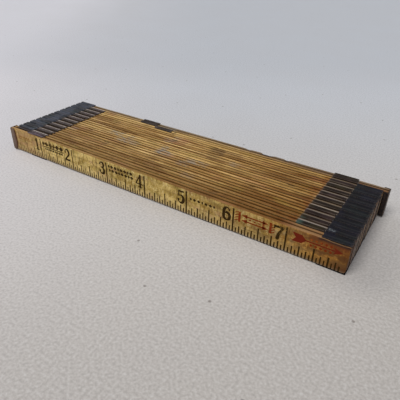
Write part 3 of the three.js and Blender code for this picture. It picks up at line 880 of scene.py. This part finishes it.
# ---------------------------------------------------------------- end caps
def build_cap(node, body, turned, seed):
    """A U of thin sheet over the slat's end: a full-height plate and two tabs, the outer one with a bowed edge."""
    t = 0.45
    def sheet(outline, y0, y1):
        """Outline in (x, z), drawn along Y."""
        K = len(outline)
        verts = [(x, y, z) for y in (y0, y1) for x, z in outline]
        faces = [(k, (k + 1) % K, K + (k + 1) % K, K + k) for k in range(K)]
        faces += [tuple(range(K - 1, -1, -1)), tuple(range(K, 2 * K))]
        me = bpy.data.meshes.new("part")
        me.from_pydata(verts, [], faces)
        bm = bmesh.new()
        bm.from_mesh(me)
        bmesh.ops.recalc_face_normals(bm, faces=bm.faces)
        bm.to_mesh(me)
        bm.free()
        ob = bpy.data.objects.new("part", me)
        scene.collection.objects.link(ob)
        return ob
    # the outer tab: fullest low down, its edge a hand-cut bow
    zs = np.linspace(0.05, SLAT_H - 0.05, 25)
    reach = np.interp(zs / SLAT_H, [0, 0.04, 0.1, 0.22, 0.38, 0.55, 0.7, 0.85, 0.96, 1.0], [1.75, 2.6, 3.15, 3.8, 4.1, 4.05, 3.85, 3.5, 3.2, 2.9])
    tab = [(0.06, SLAT_H - 0.06), (0.06, 0.06)] + [(r, z) for r, z in zip(reach, zs)]
    outer = sheet(tab, -t + 0.01, -0.04)
    r = 0.7
    it = rounded([(0.06, 0.25), (2.35, 0.25), (2.35, SLAT_H - 0.25), (0.06, SLAT_H - 0.25)], [0, r, r, 0], 4)
    inner = sheet([tuple(p) for p in it], SLAT_T + 0.04, SLAT_T + t - 0.01)
    plate_outline = rounded([(-t, 0), (SLAT_T + t, 0), (SLAT_T + t, SLAT_H), (-t, SLAT_H)], 0.32, 4)
    plate = prism_mesh([tuple(p) for p in plate_outline], [0.0, 0.16, 0.3, t])
    ob = union([plate, outer, inner])
    me = ob.data
    bm = bmesh.new()
    bm.from_mesh(me)
    bmesh.ops.remove_doubles(bm, verts=bm.verts, dist=1e-4)
    bmesh.ops.bevel(bm, geom=[e for e in bm.edges if len(e.link_faces) == 2 and e.calc_face_angle(0.0) > math.radians(60)],
                    offset=0.07, segments=2, profile=0.6, affect="EDGES", clamp_overlap=True)
    bmesh.ops.recalc_face_normals(bm, faces=bm.faces)
    bm.to_mesh(me)
    bm.free()
    co = np.zeros(len(me.vertices) * 3)
    me.vertices.foreach_get("co", co)
    co = co.reshape(-1, 3)
    x, y, z = co.T.copy()
    wear = np.clip(np.clip(1 - x / 0.35, 0, 1) * np.clip(np.maximum(1 - np.abs(y + 0.3) / 0.35, 1 - np.abs(y - SLAT_T - 0.3) / 0.35), 0, 1)
                   + np.clip((np.abs(z - SLAT_H / 2) - SLAT_H / 2 + 0.5) / 0.5, 0, 1) * 0.8, 0, 1)
    sgn = -1.0 if turned else 1.0
    yb = Y0 + ((N - 1) * PITCH if turned else 0)
    X = sgn * (X0 + x)
    Y = yb + SLAT_T - y if turned else yb + y
    me.vertices.foreach_set("co", (np.stack([X, Y, z + Z0], 1) * MM).ravel())
    me.materials.clear()
    me.materials.append(cap_metal(node + "_metal", seed, not turned))
    a = me.attributes.new("wear", "FLOAT", "POINT")
    a.data.foreach_set("value", wear.astype(np.float32))
    me.update()
    ob.name = node + "_sheet"
    me.name = ob.name
    smooth_by_angle(ob, 38)
    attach(ob, body)
    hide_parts(node)


build_cap("start_end_cap", "section_01", False, 5.0)
build_cap("finish_end_cap", "section_12", True, 9.0)


# ---------------------------------------------------------------- numerals, drawn as pen strokes of changing width
def arc(cx, cy, rx, ry, a0, a1, n=14):
    t = np.radians(np.linspace(a0, a1, n))
    return [(cx + rx * math.cos(a), cy + ry * math.sin(a)) for a in t]


def stroke(points, widths):
    p = np.array(points, float)
    w = np.interp(np.linspace(0, 1, len(p)), np.linspace(0, 1, len(widths)), widths)
    return p, w


def glyph_strokes(ch):
    """Strokes of an old-style bold numeral on a cell 1 high, y up: lists of (points, half widths)."""
    T, t = 0.098, 0.045              # stem and hair half widths
    ball = lambda x, y, r=0.085: ([(x, y), (x + 0.001, y)], [r, r])
    if ch == "1":
        return 0.36, [stroke([(0.20, 0.96), (0.20, 0.05)], [T, T]), stroke([(0.03, 0.80), (0.12, 0.86), (0.18, 0.95)], [t, t, t * 1.3]),
                      stroke([(0.03, 0.035), (0.37, 0.035)], [0.034, 0.034])]
    if ch == "2":
        return 0.62, [ball(0.13, 0.72), stroke(arc(0.31, 0.70, 0.215, 0.262, 176, -20, 16) + [(0.47, 0.52), (0.36, 0.39), (0.20, 0.24), (0.10, 0.12)],
                                               [t, t, t * 1.4, T * 1.05, T, T * 0.8, t * 1.2]),
                      stroke([(0.08, 0.075), (0.30, 0.085), (0.56, 0.06)], [0.07, 0.085, 0.06]), stroke([(0.55, 0.06), (0.57, 0.22)], [0.05, 0.03])]
    if ch == "3":
        return 0.60, [ball(0.12, 0.80, 0.075), stroke(arc(0.29, 0.75, 0.19, 0.21, 165, -78, 16), [t, t, T, T, t * 1.2]),
                      stroke([(0.22, 0.545), (0.34, 0.545)], [t, t]), stroke(arc(0.28, 0.275, 0.235, 0.25, 84, -165, 18), [t * 1.2, T, T * 1.15, T, t, t]),
                      ball(0.10, 0.24, 0.085)]
    if ch == "4":
        return 0.66, [stroke([(0.43, 0.96), (0.43, 0.05)], [T * 0.9, T]), stroke([(0.42, 0.95), (0.05, 0.31)], [t, t]),
                      stroke([(0.05, 0.285), (0.64, 0.285)], [0.04, 0.04]), stroke([(0.26, 0.035), (0.60, 0.035)], [0.034, 0.034])]
    if ch == "5":
        return 0.60, [stroke([(0.13, 0.93), (0.30, 0.90), (0.52, 0.93)], [0.055, 0.075, 0.055]), stroke([(0.13, 0.92), (0.12, 0.56)], [t, t]),
                      stroke([(0.12, 0.57)] + arc(0.29, 0.32, 0.235, 0.30, 118, -160, 18), [t, t, T, T * 1.2, T, t, t]), ball(0.11, 0.25, 0.085)]
    if ch == "6":
        return 0.64, [ball(0.50, 0.82, 0.07), stroke(arc(0.33, 0.60, 0.235, 0.36, 62, 180, 12) + arc(0.33, 0.31, 0.235, 0.275, 180, 270, 8), [t, t, T, T * 1.1, T * 1.1, T, t]),
                      stroke(arc(0.33, 0.31, 0.225, 0.275, -90, 90, 12) + arc(0.33, 0.31, 0.225, 0.275, 90, 165, 7), [t, T, T * 1.1, T, t, t])]
    if ch == "7":
        return 0.66, [stroke([(0.06, 0.87), (0.28, 0.89), (0.61, 0.89)], [0.07, 0.09, 0.07]), stroke([(0.05, 0.90), (0.04, 0.72)], [0.06, 0.035]),
                      stroke([(0.60, 0.88), (0.45, 0.62), (0.34, 0.38), (0.29, 0.07)], [t * 1.4, T * 0.8, T, T * 1.2])]
    if ch == "8":
        return 0.62, [stroke(arc(0.31, 0.74, 0.175, 0.205, -60, 300, 26), [T * 0.7, T * 0.8, t, t * 1.2, T * 0.9, T * 0.8, t, T * 0.6]),
                      stroke(arc(0.31, 0.27, 0.215, 0.245, 60, 420, 28), [t, T * 0.8, T, T * 0.7, t, T, T, T * 0.8, t])]
    if ch == "9":
        return 0.64, [ball(0.14, 0.18, 0.07), stroke(arc(0.31, 0.40, 0.235, 0.36, -118, 0, 12) + arc(0.31, 0.69, 0.235, 0.275, 0, 90, 8), [t, t, T, T * 1.1, T * 1.1, T, t]),
                      stroke(arc(0.31, 0.69, 0.225, 0.275, 90, 270, 12) + arc(0.31, 0.69, 0.225, 0.275, 270, 345, 7), [t, T, T * 1.1, T, t, t])]
    return 0.64, [stroke(arc(0.32, 0.50, 0.21, 0.46, 90, 450, 36), [t, T * 0.9, T * 1.15, T * 0.9, t, T * 0.9, T * 1.15, T * 0.9, t])]


def glyph_loops(ch, res=64):
    """Outlines of the union of the strokes: marching squares on a signed distance field, y up, cell 1 high."""
    width, strokes = glyph_strokes(ch)
    pad = 0.12
    nx, ny = int((width + 2 * pad) * res), int((1 + 2 * pad) * res)
    gx = np.linspace(-pad, width + pad, nx)
    gy = np.linspace(-pad, 1 + pad, ny)
    X, Y = np.meshgrid(gx, gy, indexing="ij")
    F = np.full(X.shape, 9.0)
    for p, w in strokes:
        if isinstance(p, list):
            p, w = np.array(p, float), np.array(w, float)
        for k in range(len(p) - 1):
            a, b = p[k], p[k + 1]
            d = b - a
            L2 = max(d @ d, 1e-12)
            h = np.clip(((X - a[0]) * d[0] + (Y - a[1]) * d[1]) / L2, 0, 1)
            dist = np.hypot(X - a[0] - h * d[0], Y - a[1] - h * d[1]) - (w[k] * (1 - h) + w[k + 1] * h)
            F = np.minimum(F, dist)
    F = F + 1e-7
    seg = {}
    inside = F < 0

    def cross(i0, j0, i1, j1):
        f0, f1 = F[i0, j0], F[i1, j1]
        t = f0 / (f0 - f1)
        return (gx[i0] + t * (gx[i1] - gx[i0]), gy[j0] + t * (gy[j1] - gy[j0]))
    for i in range(nx - 1):
        for j in range(ny - 1):
            c = (inside[i, j], inside[i + 1, j], inside[i + 1, j + 1], inside[i, j + 1])
            if all(c) or not any(c):
                continue
            E = [((i, j), (i + 1, j)), ((i + 1, j), (i + 1, j + 1)), ((i, j + 1), (i + 1, j + 1)), ((i, j), (i, j + 1))]
            on = [e for e, (u, v) in zip(E, ((c[0], c[1]), (c[1], c[2]), (c[3], c[2]), (c[0], c[3]))) if u != v]
            pairs = [(on[0], on[1])] if len(on) == 2 else [(E[0], E[1]), (E[2], E[3])] if not c[0] else [(E[0], E[3]), (E[1], E[2])]
            for a, b in pairs:
                seg.setdefault(a, []).append(b)
                seg.setdefault(b, []).append(a)
    loops, seen = [], set()
    for start in list(seg):
        if start in seen:
            continue
        loop, cur, prev = [], start, None
        while cur not in seen:
            seen.add(cur)
            loop.append(cross(*cur[0], *cur[1]))
            nxt = [e for e in seg[cur] if e != prev and e not in seen]
            if not nxt:
                break
            prev, cur = cur, nxt[0]
        if len(loop) > 5:
            L = np.array(loop)
            keep = [0]
            for k in range(1, len(L) - 1):           # thin the straight runs
                a, b, c2 = L[keep[-1]], L[k], L[k + 1]
                dev = abs((b[0] - a[0]) * (c2[1] - a[1]) - (b[1] - a[1]) * (c2[0] - a[0])) / (np.hypot(*(c2 - a)) + 1e-9)
                if dev > 0.0022 or np.hypot(*(b - a)) > 0.12:
                    keep.append(k)
            loops.append(L[keep])
    return width, loops


GLYPHS = {c: glyph_loops(c) for c in "0123456789"}


class Print:
    """Flat printed marks on one face of one section, gathered as closed slabs."""

    def __init__(self, face_y, outward):
        self.loops = []          # (list of loops in (x, z) row mm, z up)
        self.y, self.out = face_y, outward

    def rect(self, x0, x1, z0, z1):
        self.loops.append([np.array([(x0, z0), (x1, z0), (x1, z1), (x0, z1)])])

    def poly(self, pts):
        self.loops.append([np.array(pts, float)])

    def number(self, text, right, base, height, flip):
        """Right edge of the number at x = right as read; flip for a face read from the back."""
        total = sum(GLYPHS[c][0] for c in text) * height * 0.97 + 0.06 * height * (len(text) - 1)
        at = -total
        for c in text:
            w, loops = GLYPHS[c]
            new = []
            for L in loops:
                P = L.copy() * height
                P[:, 0] = P[:, 0] * 0.97 + at
                P[:, 0] = right + (-P[:, 0] if flip else P[:, 0])
                P[:, 1] += base
                new.append(P)
            self.loops.append(new)
            at += w * height * 0.97 + 0.06 * height

    def build(self, name, body, material):
        verts, faces = [], []
        inner, outer = self.y - self.out * 0.03, self.y + self.out * 0.022
        curves = [g for g in self.loops if len(g) > 1 or len(g[0]) > 8]
        simple = [g[0] for g in self.loops if len(g) == 1 and len(g[0]) <= 8]
        for L in simple:
            K = len(L)
            area = sum(L[k][0] * L[(k + 1) % K][1] - L[(k + 1) % K][0] * L[k][1] for k in range(K))
            if area < 0:
                L = L[::-1]
            b = len(verts)
            verts += [(x, inner, z) for x, z in L] + [(x, outer, z) for x, z in L]
            faces += [(b + k, b + (k + 1) % K, b + K + (k + 1) % K, b + K + k) for k in range(K)]
            faces += [tuple(b + k for k in range(K - 1, -1, -1)), tuple(b + K + k for k in range(K))]
        if curves:
            cu = bpy.data.curves.new("glyphs", "CURVE")
            cu.dimensions = "2D"
            cu.fill_mode = "BOTH"
            cu.extrude = abs(outer - inner) / 2
            for group in curves:
                for L in group:
                    sp = cu.splines.new("POLY")
                    sp.points.add(len(L) - 1)
                    for p, (x, z) in zip(sp.points, L):
                        p.co = (x, z, 0, 1)
                    sp.use_cyclic_u = True
            tmp = bpy.data.objects.new("glyphs", cu)
            scene.collection.objects.link(tmp)
            dg = bpy.context.evaluated_depsgraph_get()
            me = bpy.data.meshes.new_from_object(tmp.evaluated_get(dg))
            b = len(verts)
            ym = (inner + outer) / 2
            verts += [(v.co.x, ym - v.co.z, v.co.y) for v in me.vertices]
            faces += [tuple(b + k for k in p.vertices) for p in me.polygons]
            bpy.data.objects.remove(tmp)
        ob = mesh_object(name, verts, faces, [material], smooth=False)
        bm = bmesh.new()
        bm.from_mesh(ob.data)
        bmesh.ops.remove_doubles(bm, verts=bm.verts, dist=1e-8)
        bmesh.ops.recalc_face_normals(bm, faces=bm.faces)
        bm.to_mesh(ob.data)
        bm.free()
        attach(ob, body)
        return ob


STROKE = 6 * IN
black_front = ink("ink_black_first", srgb(54, 38, 12), srgb(140, 112, 58), 0.60, 0.76, 3.0)
black = ink("ink_black", srgb(40, 27, 13), srgb(140, 112, 58), 0.64, 0.80, 8.0)
red = ink("ink_red", srgb(112, 38, 20), srgb(132, 66, 30), 0.54, 0.76, 12.0)
rust = ink("ink_rust", srgb(122, 46, 16), srgb(158, 92, 40), 0.48, 0.68, 15.0)
faded = ink("ink_faded", srgb(126, 80, 34), srgb(160, 120, 66), 0.50, 0.70, 17.0)


def scale_marks(i, back):
    """Inch scale of section i. A back face is read from the finish cap, so its marks are the front's, turned half round."""
    lo, hi = (np.array(v) * 1000 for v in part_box(f"slat_{i:02d}"))
    sec = i if not back else N + 1 - i                    # place counted from the end it is read from
    y = lo[1] if not back else hi[1]
    pr = Print(y, -1 if not back else 1)
    rd = Print(y, -1 if not back else 1)
    ru = Print(y, -1 if not back else 1)
    fa = Print(y, -1 if not back else 1)
    last = (sec == N)
    sgn = -1.0 if back else 1.0
    # reading at distance u (mm) from the closed zero of this face
    shift = (sec - 1) * STROKE if not last else 72 * IN - CLOSED
    if back and sec > 1:
        shift = 72 * IN - CLOSED - (N - sec) * STROKE
    u0, u1 = (lo[0] - X0, hi[0] - X0) if not back else (-X0 - hi[0], -X0 - lo[0])
    H = SLAT_H

    def at(u):
        return X0 + u if not back else -X0 - u
    n16 = int(math.floor((u0 + shift) / IN * 16)) + 1
    zb = Z0 + 0.16
    rs = np.random.RandomState(400 + i * 2 + back)
    u = n16 * IN / 16 - shift
    while u < u1 - 0.2:
        if u > u0 + 0.3 and not (sec == 1 and u < 4.6) and not (sec == 1 and n16 == 128):
            k = n16 % 16
            frac = 0.86 if k == 0 else 0.50 if k == 8 else 0.385 if k % 4 == 0 else 0.30 if k % 2 == 0 else 0.205
            w = 0.58 if k == 0 else 0.52 if k % 4 == 0 else 0.46
            w *= 1 + 0.12 * rs.uniform(-1, 1)
            w *= 1.12 + 0.30 * min(max((u - 40.0) / 130.0, 0.0), 1.0) if sec == 1 else 1.15
            h = H * frac * (1 + 0.03 * rs.uniform(-1, 1))
            a, b = sorted((at(u - w / 2), at(u + w / 2)))
            ztop = Z0 + H * 0.93 if k == 0 else Z0 + h
            pr.rect(a, b, zb, ztop)
            if k == 0:
                text = str(n16 // 16)
                high = H * 0.53
                wide = sum(GLYPHS[c][0] for c in text) * high * 0.97 + 0.06 * high * (len(text) - 1)
                if u - 1.05 - wide > u0 + 0.4 and not (sec == 1 and n16 // 16 == 8):
                    lead = {"1": 1.0, "2": 0.6, "6": 0.1, "7": 0.1}.get(text, 0.0) if sec == 1 and not back else 0.0
                    pr.number(text, at(u - 1.05 - lead), Z0 + H * 0.365, high, back)
        n16 += 1
        u = n16 * IN / 16 - shift
    # small ornaments where a scale carries minor print: rows of lozenges between fine rules
    def inch(v):
        return v * IN - shift

    def lozenges(a, b, zc, h, gap, pr=pr):
        x = a
        k = 0
        while x + h * 1.2 <= b:
            wv = h * (1.15 if k % 3 else 0.7)
            p = [(at(x), zc), (at(x + wv / 2), zc - h / 2), (at(x + wv), zc), (at(x + wv / 2), zc + h / 2)]
            pr.poly(p)
            x += wv + gap
            k += 1
    if sec == 1:
        top = Z0 + H
        # black ornament bands
        lozenges(1.06 * IN, 1.76 * IN, top - 0.22 * H, 3.0, -0.15)
        a, b = sorted((at(1.10 * IN), at(1.74 * IN)))
        pr.rect(a, b, top - 0.375 * H, top - 0.335 * H)
        lozenges(1.14 * IN, 1.76 * IN, top - 0.45 * H, 1.6, 0.02)
        lozenges(0.24 * IN, 0.70 * IN, top - 0.30 * H, 1.7, -0.05, fa)
        a, b = sorted((at(0.22 * IN), at(0.72 * IN)))
        fa.rect(a, b, top - 0.41 * H, top - 0.385 * H)
        lozenges(3.05 * IN, 3.72 * IN, top - 0.19 * H, 2.0, 0.14)
        lozenges(3.07 * IN, 3.74 * IN, top - 0.36 * H, 2.0, 0.14)
        lozenges(5.08 * IN, 5.70 * IN, top - 0.32 * H, 1.7, 0.42)
        # red pictogram: an inside width between two walls
        def r_rect(a0, b0, z0, z1):
            p, q = sorted((at(a0 * IN), at(b0 * IN)))
            ru.rect(p, q, z0, z1)
        r_rect(6.10, 6.145, top - 0.52 * H, top - 0.12 * H)
        r_rect(6.69, 6.735, top - 0.52 * H, top - 0.12 * H)
        for k in range(4):
            zc = top - (0.17 + 0.10 * k) * H
            for sx, ex in ((6.035, 6.10), (6.735, 6.79)):
                p = [(at(sx * IN), zc - 0.55), (at(ex * IN), zc + 0.25), (at(ex * IN), zc + 0.75), (at(sx * IN), zc - 0.05)]
                ru.poly(p)
        for zc in (top - 0.225 * H, top - 0.42 * H):
            r_rect(6.25, 6.61, zc - 0.32, zc + 0.32)
            for tip, tail in ((6.165, 6.27), (6.67, 6.565)):
                ru.poly([(at(tip * IN), zc), (at(tail * IN), zc + 1.05), (at(tail * IN), zc - 1.05)])
        lozenges_red = [(6.30 + 0.085 * k) for k in range(4)]
        for v in lozenges_red:
            zc = top - 0.32 * H
            ru.poly([(at(v * IN), zc), (at((v + 0.03) * IN), zc - 0.4), (at((v + 0.06) * IN), zc), (at((v + 0.03) * IN), zc + 0.4)])
        # red arrow towards the slat's far end
        za = top - 0.31 * H
        P = lambda t, dz: (at(t * IN), za + dz * H)
        rd.poly([P(7.10, 0.17), P(7.27, 0.15), P(7.335, 0.035), P(7.335, -0.035), P(7.27, -0.15), P(7.10, -0.17), P(7.165, 0.0)])
        rd.poly([P(7.325, 0.022), P(7.83, 0.022), P(7.83, -0.022), P(7.325, -0.022)])
        rd.poly([P(7.80, 0.125), P(7.955, 0.0), P(7.80, -0.125), P(7.835, 0.0)])
        for k in range(5):
            for dz in (0.105, -0.105):
                v = 7.40 + 0.082 * k
                ru.poly([P(v, dz), P(v + 0.03, dz - 0.05), P(v + 0.06, dz), P(v + 0.03, dz + 0.05)])
    side = "back" if back else "front"
    pr.build(f"scale_{i:02d}_{side}", f"section_{i:02d}", black_front if (i == 1 and not back) else black)
    for sheet, name, mat in ((rd, "red_marks", red), (ru, "rust_marks", rust), (fa, "faded_marks", faded)):
        if sheet.loops:
            sheet.build(f"{name}_{i:02d}_{side}", f"section_{i:02d}", mat)


for i in range(1, N + 1):
    scale_marks(i, False)
    scale_marks(i, True)


# ---------------------------------------------------------------- floor, light
def floor():
    bm = bmesh.new()
    bmesh.ops.create_grid(bm, x_segments=8, y_segments=8, size=60.0)
    me = bpy.data.meshes.new("floor")
    bm.to_mesh(me)
    bm.free()
    ob = bpy.data.objects.new("floor", me)
    scene.collection.objects.link(ob)
    ob.location.z = -0.00002
    g = Graph("floor_paper")
    x, y, z = g.xyz()
    # warm grey near the viewer, cooler beyond the object, then painted light falloff: brighter to the left, darker near
    # the viewer, at the front right and far away
    d = g.math("ADD", g.math("MULTIPLY", x, -0.533), g.math("MULTIPLY", y, 0.846))
    far = g.mapr(d, -110.0, 160.0)
    col = g.mix(far, srgb(204, 198, 192), srgb(200, 202, 207))
    side = g.math("ADD", g.math("MULTIPLY", x, 0.85), g.math("MULTIPLY", y, 0.53))
    col = g.mix(g.mapr(side, -240.0, 40.0, 0.95, 0.0), col, srgb(228, 223, 225))
    col = g.mix(g.mapr(d, -40.0, -150.0, 0.0, 0.6), col, srgb(180, 174, 168))
    col = g.mix(g.math("MULTIPLY", g.mapr(side, 20.0, 190.0), g.mapr(d, 20.0, -120.0)), col, srgb(176, 170, 164))
    col = g.mix(g.mapr(d, 120.0, 260.0, 0.0, 0.5), col, srgb(186, 190, 197))
    mott = g.noise((0.02, 0.02, 0.02), (5, 5, 5), 4.0, 0.6)
    col = g.mix(g.mapr(mott, 0.3, 0.7, 0, 0.10), col, srgb(186, 182, 182))
    fine = g.noise((0.9, 0.9, 0.9), (1, 1, 1), 3.0, 0.6)
    tooth = g.noise((0.95, 0.95, 0.95), (3, 8, 1), 3.0, 0.6)
    lint = g.voronoi((0.02, 0.02, 0.0), (4.2, 1.3, 0))
    lint.node.voronoi_dimensions = "2D"
    clear = g.math("MAXIMUM", g.mapr(g.math("ABSOLUTE", x), 112.0, 118.0), g.mapr(g.math("ABSOLUTE", y), 40.0, 46.0))
    col = g.mix(g.math("MULTIPLY", clear, g.mapr(lint, 0.017, 0.009, 0.0, 0.55)), col, srgb(92, 80, 70))
    col = g.mix(g.mapr(tooth, 0.5, 0.7, 0.0, 0.18, smooth=False), col, (1.0, 1.0, 1.0, 1.0))
    col = g.mix(g.mapr(tooth, 0.5, 0.3, 0.0, 0.18, smooth=False), col, (0.0, 0.0, 0.0, 1.0))
    # painted shadow on the paper at the foot of the sawn ends
    near = g.math("ADD", g.math("POWER", g.math("MULTIPLY", g.math("SUBTRACT", x, SLAT_X1 + 3.0), 1.0 / 22.0), 2.0),
                  g.math("POWER", g.math("MULTIPLY", g.math("SUBTRACT", y, -12.0), 1.0 / 34.0), 2.0))
    col = g.mix(g.mapr(near, 1.0, 0.1, 0.0, 0.12), col, srgb(92, 96, 114))
    # painted light: the far left of the paper made brighter still
    col = g.mix(g.math("MULTIPLY", g.mapr(side, -100.0, -260.0), g.mapr(d, 60.0, 200.0, 0.0, 0.3)), col, srgb(240, 238, 244))
    ob.data.materials.append(g.finish(col, 0.9, g.bump(fine, 0.08, 0.0002), spec=0.2))
    return ob


floor()
world = bpy.data.worlds.new("studio")
scene.world = world
world.use_nodes = True
wt = world.node_tree
bgn = wt.nodes["Background"]
bgn.inputs[1].default_value = 1.0
# a pale horizon that the floor runs into, and a dimmer, cooler room above it
wtc = wt.nodes.new("ShaderNodeTexCoord")
wsep = wt.nodes.new("ShaderNodeSeparateXYZ")
wt.links.new(wtc.outputs["Generated"], wsep.inputs[0])
wramp = wt.nodes.new("ShaderNodeValToRGB")
wt.links.new(wsep.outputs["Z"], wramp.inputs[0])
wramp.color_ramp.interpolation = "EASE"
wramp.color_ramp.elements[0].position = 0.03
wramp.color_ramp.elements[0].color = (0.50, 0.52, 0.56, 1.0)
wramp.color_ramp.elements[1].position = 0.30
wramp.color_ramp.elements[1].color = (0.235, 0.245, 0.27, 1.0)
wt.links.new(wramp.outputs[0], bgn.inputs[0])


def sun(name, loc, angle, strength, color):
    d = bpy.data.lights.new(name, "SUN")
    d.angle = math.radians(angle)
    d.energy = strength
    d.color = color
    o = bpy.data.objects.new(name, d)
    scene.collection.objects.link(o)
    o.location = loc
    o.rotation_euler = (-Vector(loc)).to_track_quat("-Z", "Y").to_euler()
    return o


sun("window_high", (-0.35, -1.3, 2.5), 34.0, 2.02, (1.0, 0.99, 0.965))
sun("window_left", (-2.4, 0.6, 1.8), 34.0, 0.42, (0.95, 0.97, 1.0))

scene.view_settings.view_transform = "Standard"
scene.view_settings.look = "None"
scene.view_settings.exposure = 0.0
scene.view_settings.gamma = 1.0
